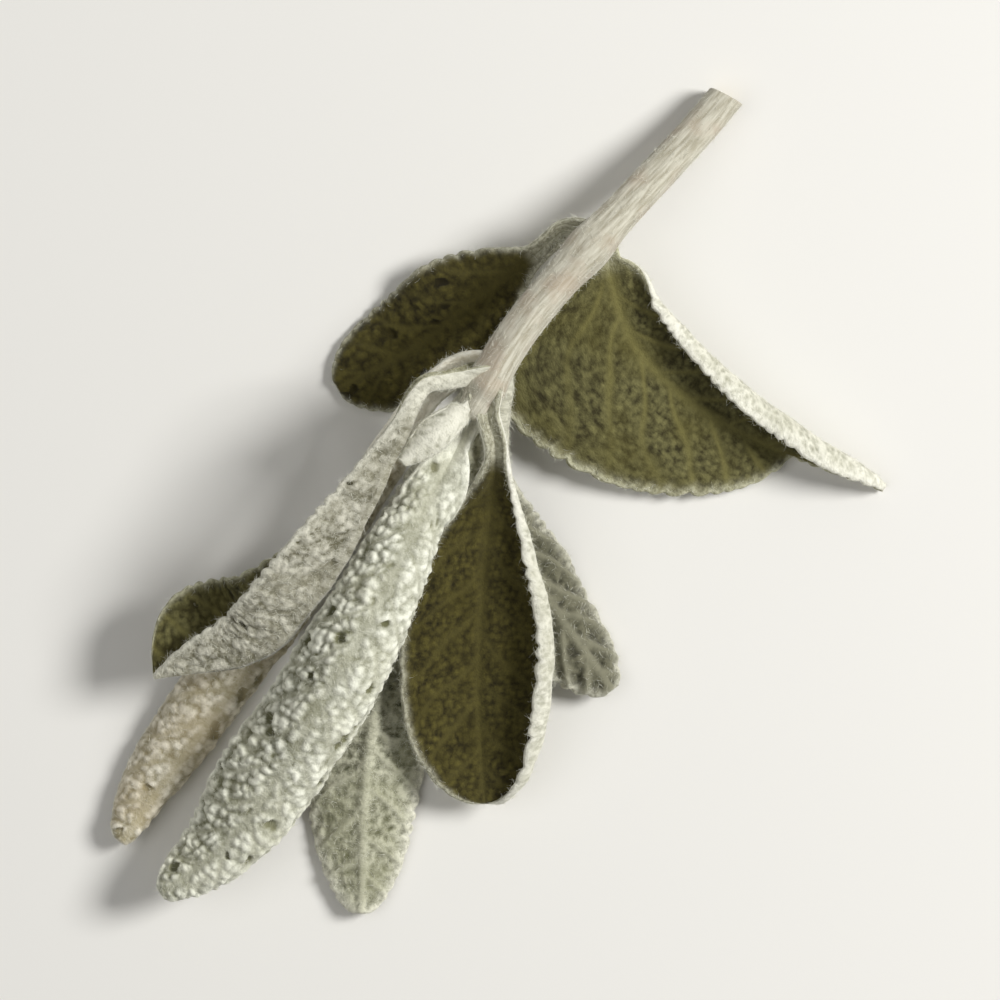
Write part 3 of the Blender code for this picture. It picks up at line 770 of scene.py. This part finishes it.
# The broad leaf right of the stem: olive, scalloped below, its far margin rolled to a pale band.
leafLowerRight = {
    "midrib": [(6.0, 7.2, 2.35), (6.4, 5.5, 2.3), (7.4, 2.8, 1.85), (9.9, 0.2, 1.1),
               (13.6, -1.9, 0.5), (18.9, -3.9, 0.28)],
    "grows": (5.7, 7.7, 3.4), "stalk": 0.03, "stalkFold": 8.0, "fullness": (0.6, 0.8),
    "halfWidth": (3.8, 7.0), "widest": (0.5, 0.2), "blunt": (2.6, 1.1), "taper": (0.6, 0.62),
    "end": (1.0, 0.74), "roll": (0, 0), "fold": (8, 2), "flat": ((0.6, 0.57, 0.45, 0.28, 0.05, 0.0), 0.3),
    "curl": (178, -5), "waves": 2.0, "teeth": (0.15, 0.28), "toothPitch": 0.75, "rimWidth": 0.4,
    "cells": 0.34, "cellHeight": 0.045, "pitShare": 0.0, "backShare": 0.8, "rib": 0.3, "ribs": 0.0,
    "down": (0.0, 0.7), "seed": 7, "skin": "driedSkinOlive", "felt": "driedFeltPale", "slot": "leaf_olive",
}
makeLeaf("leaf_lower_right_blade", "leaf_lower_right", leafLowerRight)

# Its opposite leaf, shrunken and lying low under the others. The darkest skin it is given is dark olive and
# painted shade as well.
leafLowerLeft = {
    "midrib": [(3.85, 7.9, 3.1), (2.6, 6.8, 2.6), (0.15, 5.0, 1.75), (-2.8, 2.7, 1.0),
               (-6.4, 0.8, 0.36)],
    "grows": (5.1, 7.6, 3.75), "stalk": 0.12, "fullness": (1.6, 1.1), "halfWidth": (2.8, 2.9),
    "widest": (0.46, 0.46), "blunt": (2.5, 2.5), "roll": (0, 0), "fold": (0, 0), "flat": (0.3, 0.3),
    "curl": (-20, -30), "waves": 4.0, "teeth": (0.2, 0.2), "cells": 0.44, "cellHeight": 0.12,
    "backShare": 0.8, "rib": 0.3, "ribs": 0.05, "down": (0.0, 0.7), "seed": 8,
    "skin": "driedSkinDark", "felt": "driedFeltGreen", "slot": "leaf_shaded",
}
makeLeaf("leaf_lower_left_blade", "leaf_lower_left", leafLowerLeft)
print("leaves made")

# The bud: the last pair of leaves, still closed face to face.
budValve = {
    "stalk": 0.02, "fullness": (0.7, 0.7), "widest": (0.48, 0.48), "blunt": (2.0, 2.0),
    "taper": (0.75, 0.75), "halfWidth": (1.2, 1.2), "stalkHalfWidth": 0.32, "clasp": 0.0,
    "stalkFold": 0.0, "tipHalfWidth": 0.05, "fold": (4, 4), "flat": (0.1, 0.1), "curl": (100, 100),
    "waves": 0.0, "teeth": (0.0, 0.0), "cells": 0.36, "cellHeight": 0.04, "pucker": 0.1,
    "backShare": 1.0, "rib": 0.06, "ribs": 0.0, "down": (0.5, 1.0), "wall": 0.22, "spacing": 0.05,
    "rounding": 0.12, "rimWidth": 0.1, "veinPitch": 0.8,
    "hairs": {"perSquareMm": 60, "length": 0.2, "thickness": 0.008},
    "skin": "driedSkinDowny", "felt": "driedFeltPale", "slot": "bud_felt",
}
makeLeaf("terminal_bud_upper", "terminal_bud", {
    **budValve, "midrib": [(-0.45, -0.2, 6.6), (-1.8, -1.3, 7.2), (-3.35, -2.65, 7.0)],
    "grows": (0.3, 0.5, 6.2), "roll": (180, 180), "seed": 9})
makeLeaf("terminal_bud_lower", "terminal_bud", {
    **budValve, "midrib": [(-0.4, -0.15, 6.45), (-1.8, -1.3, 6.15), (-3.25, -2.55, 6.85)],
    "grows": (0.3, 0.5, 6.1), "roll": (0, 0), "seed": 10})
print("bud made")


stem = {
    "route": [(11.6, 14.3, 0.8), (9.8, 12.2, 1.6), (5.2, 7.2, 4.1), (2.0, 3.4, 5.6), (0.0, 0.0, 6.2)],
    "radius": 0.85, "tipRadius": 0.66, "tipLength": 0.75, "tipStart": 0.95,   # share of the length
    "joints": ((5.2, 7.2, 4.1), (0.0, 0.0, 6.2)),
    "swelling": 0.22, "reach": 1.3,   # of a joint: share of the radius, and mm along the stem
    "squareness": 2.7,                # 2 is round
    "twist": 40.0,                    # over its length
    "folds": (7, 11, 16, 23), "foldDepth": 0.011,   # round the stem, and share of the radius
    "foldWander": 1.2, "wanderPerMm": (0.15, 0.5),  # of the folds, in radians
    "rows": 260, "around": 64, "faceRings": 13, "tipRings": 9,
    "cutTilt": 18.0, "cutTurn": 0.8, "cutReach": 0.5,  # slant of the cut, its direction in radians, mm
    "pithDepth": 0.14, "pithEdge": (0.3, 0.5), "barkLip": 0.04, "lipEdge": (0.85, 0.97),  # of the radius
    "seed": 20,
    "hairs": {"perSquareMm": 26, "length": 0.24, "thickness": 0.009},
    "bark": {"fold": "#a09a86", "ridge": "#c4c0af", "rubbed": "#a6947f", "rubbedShare": 0.5,
             "fibreSize": 0.15, "fibreStretch": 0.12, "fibreDepth": 0.06, "patchSize": 2.2,
             "ridged": (0.35, 0.62), "worn": (0.48, 0.62)},   # where each noise begins to show, and ends
    "cut": {"wood": "#a8966c", "pore": "#cbbd95", "pith": "#ddd8c4", "poreSize": 0.09, "poreDepth": 0.04,
            "woodStart": (0.4, 0.55)},
}


def barkMaterial(look):
    # Dried young stem: thin pale bark, shrunken into fine lengthwise folds and dusted with down. Matt,
    # with a pink grey tone where the down has rubbed off.
    material, tree = newMaterial("driedStemBark")
    flat = addNode(tree, "ShaderNodeAttribute", attribute_name="flat").outputs["Vector"]
    drawn = addNode(tree, "ShaderNodeVectorMath", {
        0: flat, 1: (1.0, look["fibreStretch"], 1.0)}, operation="MULTIPLY")
    fibres, patches = [
        addNode(tree, "ShaderNodeTexNoise", {"Vector": spot, "Scale": 1 / size, "Detail": detail})
        for spot, size, detail in ((drawn, look["fibreSize"], 4.0), (flat, look["patchSize"], 3.0))]
    colour = linear(look["fold"])
    for name, noise, (start, end), most in (("ridge", fibres, look["ridged"], 1.0),
                                            ("rubbed", patches, look["worn"], look["rubbedShare"])):
        share = addNode(tree, "ShaderNodeMapRange", {
            "Value": noise, "From Min": start, "From Max": end, "To Max": most})
        colour = addNode(tree, "ShaderNodeMix", {
            "Factor": share, "A": colour, "B": linear(look[name])}, data_type="RGBA")
    rough = addNode(tree, "ShaderNodeMapRange", {"Value": fibres, "To Min": 0.78, "To Max": 0.95})
    bump = addNode(tree, "ShaderNodeBump", {
        "Height": fibres, "Strength": 0.5, "Distance": look["fibreDepth"] * mm})
    shader = addNode(tree, "ShaderNodeBsdfPrincipled", {
        "Base Color": colour, "Roughness": rough, "Normal": bump, "Sheen Weight": 0.2})
    addNode(tree, "ShaderNodeOutputMaterial", {"Surface": shader})
    return material


def cutMaterial(look):
    # The snipped end: a ring of straw-coloured wood round a dry, spongy white pith.
    material, tree = newMaterial("snippedStemEnd")
    fromCentre = addNode(tree, "ShaderNodeAttribute", attribute_name="height").outputs["Fac"]
    flat = addNode(tree, "ShaderNodeAttribute", attribute_name="flat").outputs["Vector"]
    pores = addNode(tree, "ShaderNodeTexVoronoi", {"Vector": flat, "Scale": 1 / look["poreSize"]})
    start, end = look["woodStart"]
    isWood = addNode(tree, "ShaderNodeMapRange", {"Value": fromCentre, "From Min": start, "From Max": end})
    wood = addNode(tree, "ShaderNodeMix", {
        "Factor": pores.outputs["Distance"], "A": linear(look["wood"]), "B": linear(look["pore"])},
        data_type="RGBA")
    face = addNode(tree, "ShaderNodeMix", {
        "Factor": isWood, "A": linear(look["pith"]), "B": wood}, data_type="RGBA")
    bump = addNode(tree, "ShaderNodeBump", {
        "Height": pores.outputs["Distance"], "Strength": 0.5, "Distance": look["poreDepth"] * mm})
    shader = addNode(tree, "ShaderNodeBsdfPrincipled", {
        "Base Color": face, "Roughness": 0.85, "Normal": bump})
    addNode(tree, "ShaderNodeOutputMaterial", {"Surface": shader})
    return material


def makeStem():
    shares = np.linspace(0, 1, stem["rows"] + 1)
    route, length = smoothRoute(stem["route"], shares)
    along = unit(np.gradient(route, axis=0))
    right = unit(np.cross(along, up))
    top = np.cross(right, along)
    radius = np.full(len(route), stem["radius"])
    for joint in stem["joints"]:
        away = np.linalg.norm(route - np.array(joint), axis=1)
        radius += stem["radius"] * stem["swelling"] * hump(away, stem["reach"])
    radius += (stem["tipRadius"] - radius) * ramp(shares, stem["tipStart"], 1)

    # rings of the cut face, then along the stem, then over its rounded tip
    faceSizes = np.linspace(0, radius[0], stem["faceRings"], endpoint=False)
    tipShares = np.linspace(0, 1, stem["tipRings"] + 1)[1:]
    size = np.concatenate([faceSizes, radius, np.sqrt(1 - tipShares ** 2) * radius[-1]])
    pick = np.clip(np.arange(len(size)) - len(faceSizes), 0, len(route) - 1)
    place = route[pick]
    place[-len(tipShares):] += along[-1] * tipShares[:, None] * stem["tipLength"]
    lengthwise = (shares * length)[pick][:, None]
    onFace = (np.arange(len(size)) < len(faceSizes))[:, None]

    angle = np.linspace(0, 2 * math.pi, stem["around"], endpoint=False)[None, :]
    turn = angle + np.radians(stem["twist"]) * lengthwise / length
    power = stem["squareness"]
    square = (np.abs(np.cos(turn)) ** power + np.abs(np.sin(turn)) ** power) ** (-1 / power)
    rng = np.random.default_rng(stem["seed"])
    folds = sum(rng.uniform(0.4, 1) * np.sin(
        k * angle + 2 * math.pi * rng.random()
        + stem["foldWander"] * np.sin(lengthwise * rng.uniform(*stem["wanderPerMm"])))
        for k in stem["folds"])
    ring = size[:, None] * square / square.mean() * (1 + stem["foldDepth"] * folds)
    # the cut slants, its pith is sunken and its bark stands up a little
    fromCentre = np.clip(size / radius[0], 0, 1)[:, None]
    slant = math.tan(math.radians(stem["cutTilt"])) * ring * np.cos(angle - stem["cutTurn"])
    sunken = stem["pithDepth"] * (1 - ramp(fromCentre, *stem["pithEdge"]))
    lip = stem["barkLip"] * ramp(fromCentre, *stem["lipEdge"])
    fading = np.where(onFace, 1, np.exp(-lengthwise / stem["cutReach"]))
    shift = slant * fading + np.where(onFace, sunken - lip, 0)
    spots = place[:, None]
    for way, far in ((right, ring * np.cos(angle)), (top, ring * np.sin(angle)), (along, shift)):
        spots = spots + way[pick][:, None] * far[..., None]

    # both ends close in one point
    rows, columns = ring.shape
    index = np.arange(rows * columns).reshape(rows, columns)
    index[0], index[-1] = index[0, 0], index[-1, 0]
    after = np.roll(index, -1, axis=1)
    used = np.unique(index)
    quads = np.stack([corner.ravel() for corner in (index[:-1], index[1:], after[1:], after[:-1])], axis=1)
    number = dict(zip(used.tolist(), range(len(used))))
    faces = [[number[corner] for corner in dict.fromkeys(quad)] for quad in quads.tolist()]
    flat = np.stack(np.broadcast_arrays(angle * stem["radius"], lengthwise, 0.0), axis=-1).copy()
    flat[onFace[:, 0]] = (spots - place[:1])[onFace[:, 0]]
    mesh = meshFrom("stem", spots.reshape(-1, 3)[used], faces, {
        "flat": flat.reshape(-1, 3)[used],
        "height": np.broadcast_to(fromCentre, ring.shape).ravel()[used],
        "down": np.broadcast_to(np.where(onFace, 0.0, 1.0), ring.shape).ravel()[used]})
    mesh.materials.append(barkMaterial(stem["bark"]))
    mesh.materials.append(cutMaterial(stem["cut"]))
    cutFaces = (stem["faceRings"] - 1) * columns
    slots = np.where(np.arange(len(faces)) < cutFaces, 1, 0).astype(np.int32)
    mesh.polygons.foreach_set("material_index", slots)
    piece = newPiece("stem_bark", mesh)
    restOnFloor(mesh)
    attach(piece, "root")
    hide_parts("stem")
    compare(piece, "stem")
    addDown(piece, stem["hairs"], stem["seed"])


makeStem()
print("stem made")

studio = {
    "floorSize": 900, "floorColour": "#e6e4de",
    "key": {"from": (0.24, 0.06, 0.22), "size": 130, "power": 1.2},
    "fill": {"from": (-0.16, -0.02, 0.28), "size": 260, "power": 0.2},
    "sky": 0.22,
    "lens": 300.0, "width": 46.0,   # of the view, at the sprig
    "aim": (0.0, 0.0, 0.003),       # lights and camera face this point, in metres
}

floorMesh = bpy.data.meshes.new("floor")
half = studio["floorSize"] / 2 * mm
corners = [(-half, -half, 0), (half, -half, 0), (half, half, 0), (-half, half, 0)]
floorMesh.from_pydata(corners, [], [(0, 1, 2, 3)])
floor = newPiece("floor", floorMesh)
paper, paperNodes = newMaterial("mattPaper")
paperShader = addNode(paperNodes, "ShaderNodeBsdfPrincipled", {
    "Base Color": linear(studio["floorColour"]), "Roughness": 0.9})
addNode(paperNodes, "ShaderNodeOutputMaterial", {"Surface": paperShader})
floorMesh.materials.append(paper)

centre = Vector(studio["aim"])
for name in ("key", "fill"):
    light = bpy.data.lights.new(name, "AREA")
    light.shape = "DISK"
    light.size = studio[name]["size"] * mm
    light.energy = studio[name]["power"]
    lamp = bpy.data.objects.new(name, light)
    bpy.context.scene.collection.objects.link(lamp)
    lamp.location = centre + Vector(studio[name]["from"])
    lamp.rotation_euler = Vector(studio[name]["from"]).to_track_quat("Z", "Y").to_euler()

world = bpy.data.worlds.new("softSky")
bpy.context.scene.world = world
world.use_nodes = True
world.node_tree.nodes["Background"].inputs["Color"].default_value = (1, 1, 1, 1)
world.node_tree.nodes["Background"].inputs["Strength"].default_value = studio["sky"]

camera = bpy.data.cameras.new("camera")
camera.lens = studio["lens"]
camera.clip_start = 0.01
view = bpy.data.objects.new("camera", camera)
bpy.context.scene.collection.objects.link(view)
view.location = centre + Vector((0, 0, studio["width"] * mm * studio["lens"] / camera.sensor_width))
bpy.context.scene.camera = view
bpy.context.scene.view_settings.view_transform = "Standard"
print("surface, light and camera made")
